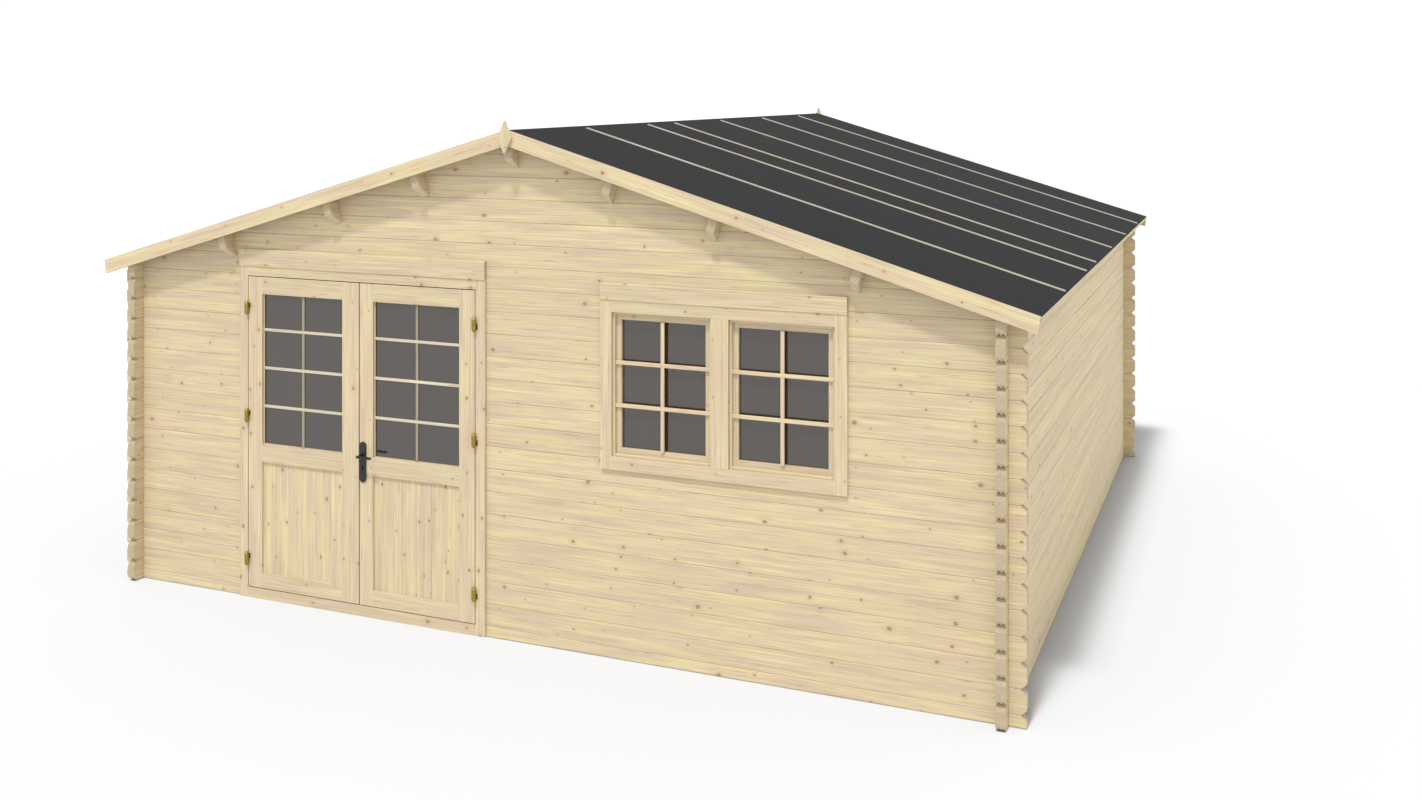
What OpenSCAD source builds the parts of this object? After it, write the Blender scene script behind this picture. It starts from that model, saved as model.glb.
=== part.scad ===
// Log cabin, square plan, gable to the front, with a half-glazed double door and a double window.
// X runs right along the front, Y runs from front to back, Z is up from the ground.

/* [Walls] */
// Outside width over the side walls
wall_w = 5190; // [4800:10:5600]
// Outside depth over the front and back walls
wall_d = 5130; // [4700:10:5600]
// Height that one log adds to a wall
log_h = 120; // [114:0.5:126]
// Thickness of a log
log_t = 45; // [40:1:52]
// How far front and back logs pass the side walls
end_x = 84; // [60:1:120]
// How far side logs pass the front and back walls
end_y = 77; // [50:1:90]
// Shadow gap between two courses
joint_gap = 0.6; // [0.4:0.1:0.9]
// Clearance of a corner lap on each side
lap_gap = 0.4; // [0.3:0.1:0.8]
// Length of the slanted cut at a log's end
cut_l = 28; // [20:1:40]
// Height of the slanted cut at a log's end
cut_h = 25; // [12:1:28]
// Bevel along the edges of a log
bevel = 2.5; // [1.5:0.1:4]
// Height of a tongue on top of a log
tongue_h = 9; // [6:0.5:12]
// Width of a tongue at its foot
tongue_w = 8; // [6:0.5:9]
// Distance from a log's middle to each tongue
tongue_y = 10; // [9:0.5:11]

/* [Roof] */
// Height of the roof covering at the ridge
ridge_z = 2712; // [2500:1:3000]
// How far the roof boards lie above the last full course at the side walls' outer face
roof_rise = 8.6; // [4:0.1:20]
// How far the roof passes the side walls
eave_over = 162; // [150:1:200]
// How far the roof boards pass the gable walls
gable_over = 78; // [70:1:100]
// Thickness of the roof boards
deck_t = 18; // [16:1:22]
// Thickness of the roofing felt
felt_t = 4; // [2:0.5:6]
// Width of a felt batten
batten_w = 22; // [16:1:40]
// Thickness of a felt batten
batten_t = 5; // [4:0.5:16]
// Distance from the ridge to the felt battens
batten_top = 48; // [30:1:70]
// Distance from the felt battens to the roof's lower edge
batten_foot = 8; // [4:1:20]
// Depth of a bargeboard across its length
barge_h = 79; // [70:1:110]
// Thickness of a bargeboard
barge_t = 20; // [16:1:26]
// How far the lower end of a bargeboard leans in
barge_lean = 11; // [0:1:30]
// How far the seam of a bargeboard lies inside the lowest purlin
seam_in = 58; // [30:1:90]
// Depth of the eave trim
trim_h = 18; // [15:1:60]
// Thickness of the eave trim
trim_t = 16; // [12:1:20]
// Width of a purlin
purlin_w = 45; // [40:1:52]
// Depth of a purlin below the roof boards
purlin_h = 178; // [170:1:200]
// Height at which the nose of a purlin's end starts
nose_low = 54; // [36:1:70]
// Height at which the nose of a purlin's end stops
nose_high = 125; // [80:1:150]
// How far the nose leans back above, and its foot's distance from the wall
nose_back = 4; // [2:1:40]
// Height of a finial
finial_h = 178; // [150:1:220]
// Width of a finial
finial_w = 82; // [70:1:100]
// Thickness of a finial
finial_t = 16; // [12:1:24]
// How far a finial's middle lies below the ridge
finial_drop = 40; // [30:1:60]

/* [Door] */
// Middle of the door frame, from the middle of the front
door_x = -995; // [-1030:1:-980]
// Width over the door frame
door_w = 1638; // [1620:1:1660]
// Face width of the door frame
door_face = 58; // [54:1:64]
// How far the frames stand out from the wall
frame_out = 15; // [12:1:20]
// Height of the door sill
sill_h = 60; // [56:1:62]
// Height of a door leaf
leaf_h = 1783; // [1770:1:1790]
// Thickness of a door leaf
leaf_t = 42; // [38:1:44]
// Gap round a door leaf
leaf_gap = 5; // [5:0.1:6]
// Gap where the two leaves meet
meet_gap = 7; // [7:0.1:8]
// How far the leaves meet to the right of the frame's middle
meet_x = 12; // [5:1:26]
// Width of the stiles on the hinge side
stile_w = 97; // [90:1:104]
// Distance from the frame's middle to the glass of each leaf
meet_half = 103; // [95:1:112]
// Height of the top rail
top_rail = 97; // [90:1:105]
// Height of the bottom rail
bottom_rail = 87; // [80:1:95]
// Height of the middle rail
mid_rail = 101; // [94:1:116]
// Height of a leaf's glass opening
glass_h = 863; // [840:1:880]
// Thickness of glass
pane_t = 5; // [4:0.5:6]
// Thickness of the boarded panel in a leaf
panel_t = 20; // [16:1:24]
// Depth of the grooves that hold glass and panels
groove_d = 9; // [7:0.5:12]
// Height of a header board over the door
header_h = 100; // [90:1:110]
// Width of the battens that the closed leaves stand against
stop_w = 16; // [12:1:20]
// How far a header board stands out from the frame
header_out = 5; // [4:1:22]
// How far a header board laps over the top of its frame
header_lap = 5; // [3:1:10]

/* [Window] */
// Left edge of the window frame, from the middle of the front
win_x = 512; // [500:1:530]
// Width over the window frame
win_w = 1320; // [1300:1:1330]
// Lower edge of the window frame above ground
win_z = 974; // [966:1:984]
// Height over the window frame
win_h = 876; // [870:1:880]
// Face width of the window posts
win_face = 63; // [58:1:68]
// Face width of the mullion
mullion_w = 94; // [88:1:100]
// Height of the window's head and sill boards
win_rail = 67; // [62:1:70]
// Face width of a sash
sash_w = 41; // [36:1:46]
// Thickness of a sash
sash_t = 40; // [34:1:44]
// Depth of the sash behind the wall's outer face
sash_in = 20; // [14:1:24]
// Height of the header board over the window
win_header_h = 85; // [78:1:90]

/* [Ironmongery] */
// Height of a hinge
hinge_h = 78; // [58:1:90]
// Diameter of a hinge barrel
barrel_d = 24; // [12:0.5:30]
// Height of the tapered tip at each end of a hinge barrel
tip_h = 10; // [4:1:16]
// Diameter of a hinge pin
pin_d = 8; // [6:0.5:9]
// Width of a hinge's flap from the pin's middle
flap_w = 16; // [14:1:30]
// Thickness of a hinge's flap
flap_t = 3; // [2:0.5:4]
// Distance from a leaf's foot to its lowest hinge
hinge_low = 161; // [140:1:180]
// Distance from a leaf's foot to its middle hinge
hinge_mid = 983; // [900:1:1010]
// Distance from a leaf's top to its highest hinge
hinge_top = 180; // [160:1:200]
// Width of a handle plate
plate_w = 44; // [38:1:46]
// Height of a handle plate
plate_h = 224; // [200:1:240]
// Thickness of a handle plate
plate_t = 6; // [4:0.5:8]
// Distance from the lever down to a handle plate's foot
plate_drop = 152; // [130:1:170]
// Diameter of a lever
lever_d = 15; // [12:0.5:18]
// Reach of a lever along the door
lever_l = 92; // [80:1:120]
// How far a lever stands out from its plate
lever_out = 50; // [34:1:60]
// Height of the lever above ground
lever_z = 898; // [874:1:910]
// Diameter of the spindle between the levers
spindle_d = 12; // [10:0.5:13]
// Distance from the lever down to the keyhole
key_drop = 68; // [45:1:75]
// Diameter of the keyhole's round part
key_d = 12; // [7:0.5:14]

/* [Hidden] */
$fn = 48;
spruce = "#e6d5b0";
felt_grey = "#434344";
glass_grey = "#67635f";
brass = "#8c7433";
black = "#2b2b2b";
eps = 1;
seat_gap = 0.3;

// door
front_y = -wall_d / 2;
door_l = door_x - door_w / 2;
door_r = door_x + door_w / 2;
grip = 20;
leaf_z = sill_h + leaf_gap;
leaf_top = leaf_z + leaf_h;
door_top = leaf_top + leaf_gap + door_face;
leaf_l = door_l + door_face + leaf_gap;
leaf_r = door_r - door_face - leaf_gap;
meet = door_x + meet_x;
leaf_y = front_y - frame_out;
pane_y = leaf_y + leaf_t / 2 - pane_t / 2;
panel_y = leaf_y + leaf_t / 2 - panel_t / 2;
panel_z = leaf_z + bottom_rail;
panel_top = leaf_top - top_rail - glass_h - mid_rail;
hinge_y = leaf_y - barrel_d / 2 - flap_t / 2;
hinge_z = [leaf_z + hinge_low, leaf_z + hinge_mid, leaf_top - hinge_top];
hinge_lx = leaf_l - leaf_gap / 2;
hinge_rx = leaf_r + leaf_gap / 2;
left_meet = meet - meet_gap / 2;
right_meet = meet + meet_gap / 2;
left_inner = door_x - meet_half;
right_inner = door_x + meet_half;
lever_x = right_meet + 1 + plate_w / 2;
stop_y = leaf_y + leaf_t + leaf_gap;
frame_d = log_t + 2 * frame_out;

// window
win_y = front_y - frame_out;
win_r = win_x + win_w;
win_top = win_z + win_h;
pane_w = (win_w - 2 * win_face - mullion_w) / 2;
light_z = win_z + win_rail;
light_h = win_h - 2 * win_rail;
sash_x = [win_x + win_face, win_x + win_face + pane_w + mullion_w];
sash_y = front_y + sash_in;

// walls: as many side courses as reach the top of the door and the window
wall_cy = wall_d / 2 - log_t / 2;
wall_cx = wall_w / 2 - log_t / 2;
wall_end = wall_w / 2 + end_x;
courses = ceil((max(door_top, win_top) - grip) / log_h);
function row_z(j) = j == 0 ? 0 : (j - 0.5) * log_h;
function row_h(j) = j == 0 ? log_h / 2 : log_h;
// course of the front wall that a height falls in
function row_at(z) = floor(z / log_h + 0.5);
door_rows = row_at(door_top - grip);
low_rows = row_at(win_z + grip);
high_rows = row_at(win_top - grip);

// roof: from the top of the side walls straight up to the ridge
roof_build = deck_t + felt_t + seat_gap;
roof_climb = ridge_z - courses * log_h - roof_rise;
roof_deg = atan2(roof_climb, wall_w / 2) - asin(roof_build / norm([roof_climb, wall_w / 2]));
roof_tan = tan(roof_deg);
roof_cos = cos(roof_deg);
roof_x = wall_w / 2 + eave_over;
roof_y = wall_d / 2 + gable_over;
deck_low = ridge_z - roof_build / roof_cos;
deck_top = deck_low + deck_t / roof_cos;
purlin_x = [0.2328, 0.4547, 0.739] * wall_w / 2;
batten_y = [for (k = [0.143, 0.3064, 0.3885, 0.5474, 0.7158, 0.8848]) front_y + k * wall_d];
function under_z(x) = deck_low - seat_gap - abs(x) * roof_tan;
// highest gable course that still has some height under the ridge
last_row = row_at(under_z(0) - grip);

// profile of a log: two tongues on top, two grooves underneath, bevelled edges
function log_section(h, tongue, groove) =
    let (t = log_t / 2, b = bevel, gw = tongue_w / 2 + 0.6, gd = tongue_h + 1.4, tw = tongue_w / 2)
    concat(
        [[-t, b], [-t + b, 0]],
        groove ? [for (s = [-1, 1], q = [[-gw, 0], [1.2 - gw, gd], [gw - 1.2, gd], [gw, 0]])
            [s * tongue_y + q[0], q[1]]] : [],
        [[t - b, 0], [t, b], [t, h - b], [t - b, h]],
        tongue ? [for (s = [1, -1], q = [[tw, 0], [tw - 1.2, tongue_h], [1.2 - tw, tongue_h], [-tw, 0]])
            [s * tongue_y + q[0], h + q[1]]] : [],
        [[b - t, h], [-t, h - b]]);

// side view of a log with slanted cuts at the free ends, low end first; a half log has none at its foot
function log_outline(a0, a1, h, v0, v1, foot) =
    let (k = cut_l / cut_h, u = h + tongue_h + eps)
    concat(
        v0 && foot ? [[a0, cut_h], [a0 + cut_l + k, -1]] : [[a0, -1]],
        v1 && foot ? [[a1 - cut_l - k, -1], [a1, cut_h]] : [[a1, -1]],
        v1 ? [[a1, h - cut_h], [a1 - k * (u - h + cut_h), u]] : [[a1, u]],
        v0 ? [[a0 + k * (u - h + cut_h), u], [a0, h - cut_h]] : [[a0, u]]);

// one log along X with quarter-height laps where it crosses other walls; more adds height on top
module log_run(a0, a1, z0, h, cross, v0, v1, tongue = true, groove = true, more = 0) {
    hh = h - joint_gap + more;
    translate([0, 0, z0])
    difference() {
        intersection() {
            translate([a0, 0, 0])
                rotate([90, 0, 90])
                linear_extrude(a1 - a0)
                polygon(log_section(hh, tongue, groove));
            rotate([90, 0, 0])
                linear_extrude(log_t + 2, center = true)
                polygon(log_outline(a0, a1, hh, v0, v1, groove));
        }
        for (c = cross)
            translate([c - log_t / 2 - lap_gap, -log_t, 0]) {
                if (groove)
                    translate([0, 0, -eps])
                    cube([log_t + 2 * lap_gap, 2 * log_t, log_h / 4 + lap_gap + eps]);
                translate([0, 0, h - log_h / 4 - lap_gap])
                    cube([log_t + 2 * lap_gap, 2 * log_t, log_h]);
            }
    }
}

// one course of the front or back wall
module cross_log(j, x0, x1, y, v0, v1) {
    c = [for (s = [-1, 1]) if (s * wall_cx > x0 && s * wall_cx < x1) s * wall_cx];
    translate([0, y, 0])
        log_run(x0, x1, row_z(j), row_h(j), c, v0, v1, true, j > 0);
}

// room below the roof boards, as a prism
module under_roof() {
    x = roof_x + 200;
    translate([0, wall_d, 0])
        rotate([90, 0, 0])
        linear_extrude(2 * wall_d)
        polygon([[-x, -100], [x, -100], [x, under_z(x)], [0, under_z(0)], [-x, under_z(x)]]);
}

// middle of a purlin's top under the roof boards, turned square to its slope
module at_purlin(x) {
    translate([x, 0, under_z(x)])
        rotate([0, sign(x) * roof_deg, 0])
        children();
}

// slot that a purlin fills in a gable wall
module purlin_slot(x) {
    at_purlin(x)
        translate([-purlin_w / 2 - lap_gap, -wall_d, -purlin_h - lap_gap])
        cube([purlin_w + 2 * lap_gap, 2 * wall_d, purlin_h * 2]);
}

module all_purlin_slots() {
    purlin_slot(0);
    for (s = [-1, 1], x = purlin_x)
        purlin_slot(s * x);
}

module door_cut() {
    translate([door_l + grip, front_y - 50, -eps])
        cube([door_w - 2 * grip, log_t + 100, door_top - grip + eps]);
}

module window_cut() {
    translate([win_x + grip, front_y - 50, win_z + grip])
        cube([win_w - 2 * grip, log_t + 100, win_h - 2 * grip]);
}

// half the length of a gable course, which ends at a purlin rather than in a short stub past it
function gable_x(j) =
    let (x = min((under_z(0) - row_z(j)) / roof_tan, wall_end))
    let (near = [for (p = purlin_x) if (x > p && x < p + 2 * log_t) p])
    len(near) > 0 ? near[0] : x;

// courses of a gable above the side walls
module gable_rows(y) {
    intersection() {
        difference() {
            for (j = [courses + 1 : last_row])
                cross_log(j, -gable_x(j), gable_x(j), y, false, false);
            all_purlin_slots();
        }
        under_roof();
    }
}

module front_wall_left() {
    color(spruce)
    difference() {
        for (j = [0 : door_rows - 1])
            cross_log(j, -wall_end, door_l + grip - lap_gap, -wall_cy, true, false);
        all_purlin_slots();
    }
}

module front_wall_low() {
    color(spruce)
    difference() {
        for (j = [0 : low_rows])
            cross_log(j, door_r - grip + lap_gap, wall_end, -wall_cy, false, true);
        window_cut();
    }
}

// front course right of the door, or from corner to x1 where it passes over the door
module over_door_log(j, x1, v1) {
    over = j >= door_rows;
    cross_log(j, over ? -wall_end : door_r - grip + lap_gap, x1, -wall_cy, over, v1);
}

module front_wall_middle() {
    color(spruce)
    difference() {
        for (j = [low_rows + 1 : high_rows - 1])
            over_door_log(j, win_x + grip - lap_gap, false);
        door_cut();
    }
}

module front_wall_right() {
    color(spruce)
    for (j = [low_rows + 1 : high_rows - 1])
        cross_log(j, win_r - grip + lap_gap, wall_end, -wall_cy, false, true);
}

module front_wall_top() {
    color(spruce)
    intersection() {
        difference() {
            for (j = [high_rows : courses])
                over_door_log(j, wall_end, true);
            door_cut();
            window_cut();
            all_purlin_slots();
        }
        under_roof();
    }
}

module front_gable() {
    color(spruce)
    gable_rows(-wall_cy);
}

module back_wall() {
    color(spruce)
    intersection() {
        difference() {
            for (j = [0 : courses])
                cross_log(j, -wall_end, wall_end, wall_cy, true, true);
            all_purlin_slots();
        }
        under_roof();
    }
}

module back_gable() {
    color(spruce)
    gable_rows(wall_cy);
}

// side wall with full logs, the last one bevelled to carry the roof boards
module side_rows(s) {
    a = wall_d / 2 + end_y;
    top_more = under_z(wall_w / 2 - log_t) - courses * log_h + eps;
    intersection() {
        for (k = [0 : courses - 1]) {
            last = k == courses - 1;
            translate([s * wall_cx, 0, 0])
                rotate([0, 0, 90])
                log_run(-a, a, k * log_h, log_h, [-wall_cy, wall_cy], true, true, !last, true,
                    last ? top_more : 0);
        }
        under_roof();
    }
}

module left_wall() {
    color(spruce)
    side_rows(-1);
}

module right_wall() {
    color(spruce)
    side_rows(1);
}

// purlin with a nosed end under the roof's front and back edges
module purlin(x) {
    h = purlin_h;
    y = wall_d / 2;
    nose = gable_over - seat_gap;
    intersection() {
        at_purlin(x)
            translate([-purlin_w / 2, 0, -h])
            rotate([90, 0, 90])
            linear_extrude(purlin_w)
            polygon([[-y - nose_back, 0], [-y - nose, nose_low], [-y - nose, nose_high],
                [-y - nose + nose_back, h + purlin_w], [y + nose - nose_back, h + purlin_w],
                [y + nose, nose_high], [y + nose, nose_low], [y + nose_back, 0]]);
        under_roof();
    }
}

module ridge_purlin() {
    color(spruce)
    purlin(0);
}

module side_purlins() {
    color(spruce)
    for (s = [-1, 1], x = purlin_x)
        purlin(s * x);
}

// layer that lies on one slope: top at the ridge z0, thickness t, from the ridge to x1
module slope_slab(s, z0, t, x0, x1, y0, y1) {
    v = t / roof_cos;
    mirror([s < 0 ? 1 : 0, 0, 0])
        translate([0, y1, 0])
        rotate([90, 0, 0])
        linear_extrude(y1 - y0)
        polygon([[x0, z0 - x0 * roof_tan], [x0, z0 - v - x0 * roof_tan],
            [x1, z0 - v - x1 * roof_tan], [x1, z0 - x1 * roof_tan]]);
}

module left_roof_boards() {
    color(spruce)
    slope_slab(-1, deck_top, deck_t, 0.2, roof_x - trim_t, -roof_y, roof_y);
}

module right_roof_boards() {
    color(spruce)
    slope_slab(1, deck_top, deck_t, 0.2, roof_x - trim_t, -roof_y, roof_y);
}

module left_felt() {
    color(felt_grey)
    slope_slab(-1, ridge_z, felt_t, 0.2, roof_x, -roof_y, roof_y);
}

module right_felt() {
    color(felt_grey)
    slope_slab(1, ridge_z, felt_t, 0.2, roof_x, -roof_y, roof_y);
}

module felt_battens() {
    color(spruce)
    for (s = [-1, 1], y = batten_y)
        slope_slab(s, ridge_z + (batten_t + seat_gap) / roof_cos, batten_t, batten_top, roof_x - batten_foot,
            y - batten_w / 2, y + batten_w / 2);
}

// bargeboard of one slope in two lengths that meet near the lowest purlin
module barge_pair(s, y0) {
    v = barge_h / roof_cos;
    seam = purlin_x[2] - seam_in;
    mirror([s < 0 ? 1 : 0, 0, 0])
        translate([0, y0 + barge_t, 0])
        rotate([90, 0, 0])
        linear_extrude(barge_t) {
            polygon([[0.3, ridge_z], [0.3, ridge_z - v],
                [seam - 0.3, ridge_z - v - (seam - 0.3) * roof_tan],
                [seam - 0.3, ridge_z - (seam - 0.3) * roof_tan]]);
            polygon([[seam + 0.3, ridge_z - (seam + 0.3) * roof_tan],
                [seam + 0.3, ridge_z - v - (seam + 0.3) * roof_tan],
                [roof_x - barge_lean, ridge_z - v - (roof_x - barge_lean) * roof_tan],
                [roof_x, ridge_z - roof_x * roof_tan]]);
        }
}

module front_bargeboards() {
    color(spruce)
    for (s = [-1, 1])
        barge_pair(s, -roof_y - barge_t);
}

module back_bargeboards() {
    color(spruce)
    for (s = [-1, 1])
        barge_pair(s, roof_y);
}

module finials() {
    mid = ridge_z - finial_drop;
    color(spruce)
    for (s = [-1, 1])
        translate([0, s * (roof_y + barge_t + finial_t / 2), mid])
        rotate([90, 0, 0])
        linear_extrude(finial_t, center = true)
        polygon([[0, -finial_h / 2], [finial_w / 2, 0], [0, finial_h / 2], [-finial_w / 2, 0]]);
}

module eave_trims() {
    x0 = roof_x - trim_t;
    z0 = deck_top - roof_x * roof_tan;
    color(spruce)
    for (s = [-1, 1])
        mirror([s < 0 ? 1 : 0, 0, 0])
        translate([0, roof_y, 0])
        rotate([90, 0, 0])
        linear_extrude(2 * roof_y)
        polygon([[x0, z0 + trim_t * roof_tan], [x0, z0 - trim_h], [roof_x, z0 - trim_h], [roof_x, z0]]);
}

// slot that grips the ends of the logs, across a frame member
module log_slot(size) {
    translate([0, frame_out - lap_gap, 0])
        cube([size[0], log_t + 2 * lap_gap, size[1]]);
}

// door post with a slot for the logs on its left and over its top
module door_post() {
    difference() {
        cube([door_face, frame_d, door_top]);
        translate([-eps, 0, -eps])
            log_slot([grip + eps, door_top + 2 * eps]);
        translate([-eps, 0, door_top - grip])
            log_slot([door_face + 2 * eps, grip + eps]);
    }
}

module door_posts() {
    color(spruce) {
        translate([door_l, leaf_y, 0])
            door_post();
        translate([door_r, leaf_y, 0])
            mirror([1, 0, 0])
            door_post();
    }
}

module door_head() {
    x = door_l + door_face;
    w = door_w - 2 * door_face;
    color(spruce)
    translate([x, leaf_y, leaf_top + leaf_gap])
    difference() {
        cube([w, frame_d, door_face]);
        translate([-eps, 0, door_face - grip])
            log_slot([w + 2 * eps, grip + eps]);
    }
}

// battens behind the closed leaves, on both posts and under the head
module door_stops() {
    x = door_l + door_face;
    w = door_w - 2 * door_face;
    d = leaf_y + frame_d - stop_y;
    z = leaf_top + leaf_gap - stop_w;
    color(spruce)
    translate([x, stop_y, 0]) {
        for (k = [0, w - stop_w])
            translate([k, 0, sill_h])
            cube([stop_w, d, z - sill_h - 0.5]);
        translate([0, 0, z])
            cube([w, d, stop_w]);
    }
}

module door_sill() {
    color(spruce)
    translate([door_l + door_face, leaf_y, 0])
        cube([door_w - 2 * door_face, frame_d, sill_h]);
}

// board over a frame's top, rebated to lap over its face and notched where a purlin comes as low
module header_board(x, z, w, h) {
    difference() {
        translate([x, front_y - frame_out - header_out, z - header_lap])
            cube([w, header_out + frame_out - lap_gap, h]);
        translate([x - eps, front_y - frame_out, z - header_lap - eps])
            cube([w + 2 * eps, frame_out, header_lap + lap_gap + eps]);
        all_purlin_slots();
    }
}

module door_header() {
    color(spruce)
    header_board(door_l, door_top, door_w, header_h);
}

// window post with a slot for the logs on its left, over its top and under its foot
module window_post() {
    difference() {
        cube([win_face, frame_d, win_h]);
        translate([-eps, 0, -eps])
            log_slot([grip + eps, win_h + 2 * eps]);
        for (z = [-eps, win_h - grip])
            translate([-eps, 0, z])
            log_slot([win_face + 2 * eps, grip + eps]);
    }
}

module window_posts() {
    color(spruce) {
        translate([win_x, win_y, win_z])
            window_post();
        translate([win_r, win_y, win_z])
            mirror([1, 0, 0])
            window_post();
        translate([win_x + win_face + pane_w, win_y, light_z])
            cube([mullion_w, frame_d, light_h]);
    }
}

// head and sill of the window between its posts
module window_rails() {
    w = win_w - 2 * win_face;
    color(spruce)
    for (k = [0, 1])
        translate([win_x + win_face, win_y, win_z + k * (win_h - win_rail)])
        difference() {
            cube([w, frame_d, win_rail]);
            translate([-eps, 0, k == 0 ? -eps : win_rail - grip])
                log_slot([w + 2 * eps, grip + eps]);
        }
}

module window_header() {
    color(spruce)
    header_board(win_x, win_top, win_w, win_header_h);
}

// groove for a pane or panel, in a member's own corner frame
module pane_groove(size, t) {
    translate([0, -t / 2 - 0.3, 0])
        cube([size[0], t + 0.6, size[1]]);
}

module sash_stiles() {
    color(spruce)
    for (x = sash_x, k = [0, 1])
        translate([x + k * (pane_w - sash_w), sash_y, light_z])
        difference() {
            cube([sash_w, sash_t, light_h]);
            translate([k == 0 ? sash_w - groove_d : -eps, sash_t / 2, -eps])
                pane_groove([groove_d + eps, light_h + 2 * eps], pane_t);
        }
}

module sash_rails() {
    w = pane_w - 2 * sash_w;
    color(spruce)
    for (x = sash_x, k = [0, 1])
        translate([x + sash_w, sash_y, light_z + k * (light_h - sash_w)])
        difference() {
            cube([w, sash_t, sash_w]);
            translate([-eps, sash_t / 2, k == 0 ? sash_w - groove_d : -eps])
                pane_groove([w + 2 * eps, groove_d + eps], pane_t);
        }
}

module window_glass() {
    m = sash_w - groove_d + 0.5;
    color(glass_grey)
    for (x = sash_x)
        translate([x + m, sash_y + sash_t / 2 - pane_t / 2, light_z + m])
        cube([pane_w - 2 * m, pane_t, light_h - 2 * m]);
}

// stile of a door leaf with grooves for the glass and the panel on one side
module leaf_stile(x, w, right) {
    gx = right ? w - groove_d : -eps;
    translate([x, leaf_y, leaf_z])
    difference() {
        cube([w, leaf_t, leaf_h]);
        translate([gx, leaf_t / 2, panel_top - leaf_z])
            pane_groove([groove_d + eps, leaf_h], pane_t);
        translate([gx, leaf_t / 2, -eps])
            pane_groove([groove_d + eps, panel_top - leaf_z + mid_rail / 2], panel_t);
    }
}

// top, middle and bottom rails of a leaf between x0 and x1
module leaf_rails(x0, x1) {
    w = x1 - x0;
    translate([x0, leaf_y, leaf_z])
    difference() {
        cube([w, leaf_t, bottom_rail]);
        translate([-eps, leaf_t / 2, bottom_rail - groove_d])
            pane_groove([w + 2 * eps, groove_d + eps], panel_t);
    }
    translate([x0, leaf_y, panel_top])
    difference() {
        cube([w, leaf_t, mid_rail]);
        translate([-eps, leaf_t / 2, -eps])
            pane_groove([w + 2 * eps, groove_d + eps], panel_t);
        translate([-eps, leaf_t / 2, mid_rail - groove_d])
            pane_groove([w + 2 * eps, groove_d + eps], pane_t);
    }
    translate([x0, leaf_y, leaf_top - top_rail])
    difference() {
        cube([w, leaf_t, top_rail]);
        translate([-eps, leaf_t / 2, -eps])
            pane_groove([w + 2 * eps, groove_d + eps], pane_t);
    }
}

module leaf_panel(x0, x1) {
    g = groove_d - 0.5;
    translate([x0 - g, panel_y, panel_z - g])
        cube([x1 - x0 + 2 * g, panel_t, panel_top - panel_z + 2 * g]);
}

module leaf_glass(x0, x1) {
    g = groove_d - 0.5;
    translate([x0 - g, pane_y, leaf_top - top_rail - glass_h - g])
        cube([x1 - x0 + 2 * g, pane_t, glass_h + 2 * g]);
}

// half of a hinge barrel with a tapered tip on top
module barrel(h) {
    cylinder(d = barrel_d, h = h - tip_h);
    translate([0, 0, h - tip_h])
        cylinder(d1 = barrel_d, d2 = barrel_d / 2, h = tip_h);
}

// upper half of a lift-off hinge with its leaf to the right
module hinge_leaf() {
    half = hinge_h / 2 - 0.5;
    difference() {
        union() {
            translate([0, 0, 0.5])
                barrel(half);
            translate([0, (barrel_d - flap_t) / 2, 0.5])
                cube([flap_w, flap_t, half - tip_h]);
        }
        translate([0, 0, -eps])
            cylinder(d = pin_d + 0.2, h = half - 3 + eps);
    }
}

// lower half of a lift-off hinge with its pin and its leaf to the left
module hinge_pin() {
    half = hinge_h / 2 - 0.5;
    mirror([0, 0, 1])
        barrel(half);
    translate([-flap_w, (barrel_d - flap_t) / 2, tip_h - half])
        cube([flap_w, flap_t, half - tip_h]);
    translate([0, 0, -eps])
        cylinder(d = pin_d, h = half - 6 + eps);
}

module hinge_pins() {
    color(brass)
    for (z = hinge_z) {
        translate([hinge_lx, hinge_y, z])
            hinge_pin();
        translate([hinge_rx, hinge_y, z])
            mirror([1, 0, 0])
            hinge_pin();
    }
}

module left_leaf_stiles() {
    color(spruce) {
        leaf_stile(leaf_l, stile_w, true);
        leaf_stile(left_inner, left_meet - left_inner, false);
    }
}

module left_leaf_rails() {
    color(spruce)
    leaf_rails(leaf_l + stile_w, left_inner);
}

module left_leaf_panel() {
    color(spruce)
    leaf_panel(leaf_l + stile_w, left_inner);
}

module left_leaf_glass() {
    color(glass_grey)
    leaf_glass(leaf_l + stile_w, left_inner);
}

module left_leaf_hinges() {
    color(brass)
    for (z = hinge_z)
        translate([hinge_lx, hinge_y, z])
        hinge_leaf();
}

module right_leaf_stiles() {
    color(spruce)
    difference() {
        union() {
            leaf_stile(leaf_r - stile_w, stile_w, false);
            leaf_stile(right_meet, right_inner - right_meet, true);
        }
        translate([lever_x, leaf_y - eps, lever_z])
            rotate([-90, 0, 0])
            cylinder(d = spindle_d + 1, h = leaf_t + 2 * eps);
    }
}

module right_leaf_rails() {
    color(spruce)
    leaf_rails(right_inner, leaf_r - stile_w);
}

module right_leaf_panel() {
    color(spruce)
    leaf_panel(right_inner, leaf_r - stile_w);
}

module right_leaf_glass() {
    color(glass_grey)
    leaf_glass(right_inner, leaf_r - stile_w);
}

module right_leaf_hinges() {
    color(brass)
    for (z = hinge_z)
        translate([hinge_rx, hinge_y, z])
        mirror([1, 0, 0])
        hinge_leaf();
}

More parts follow.
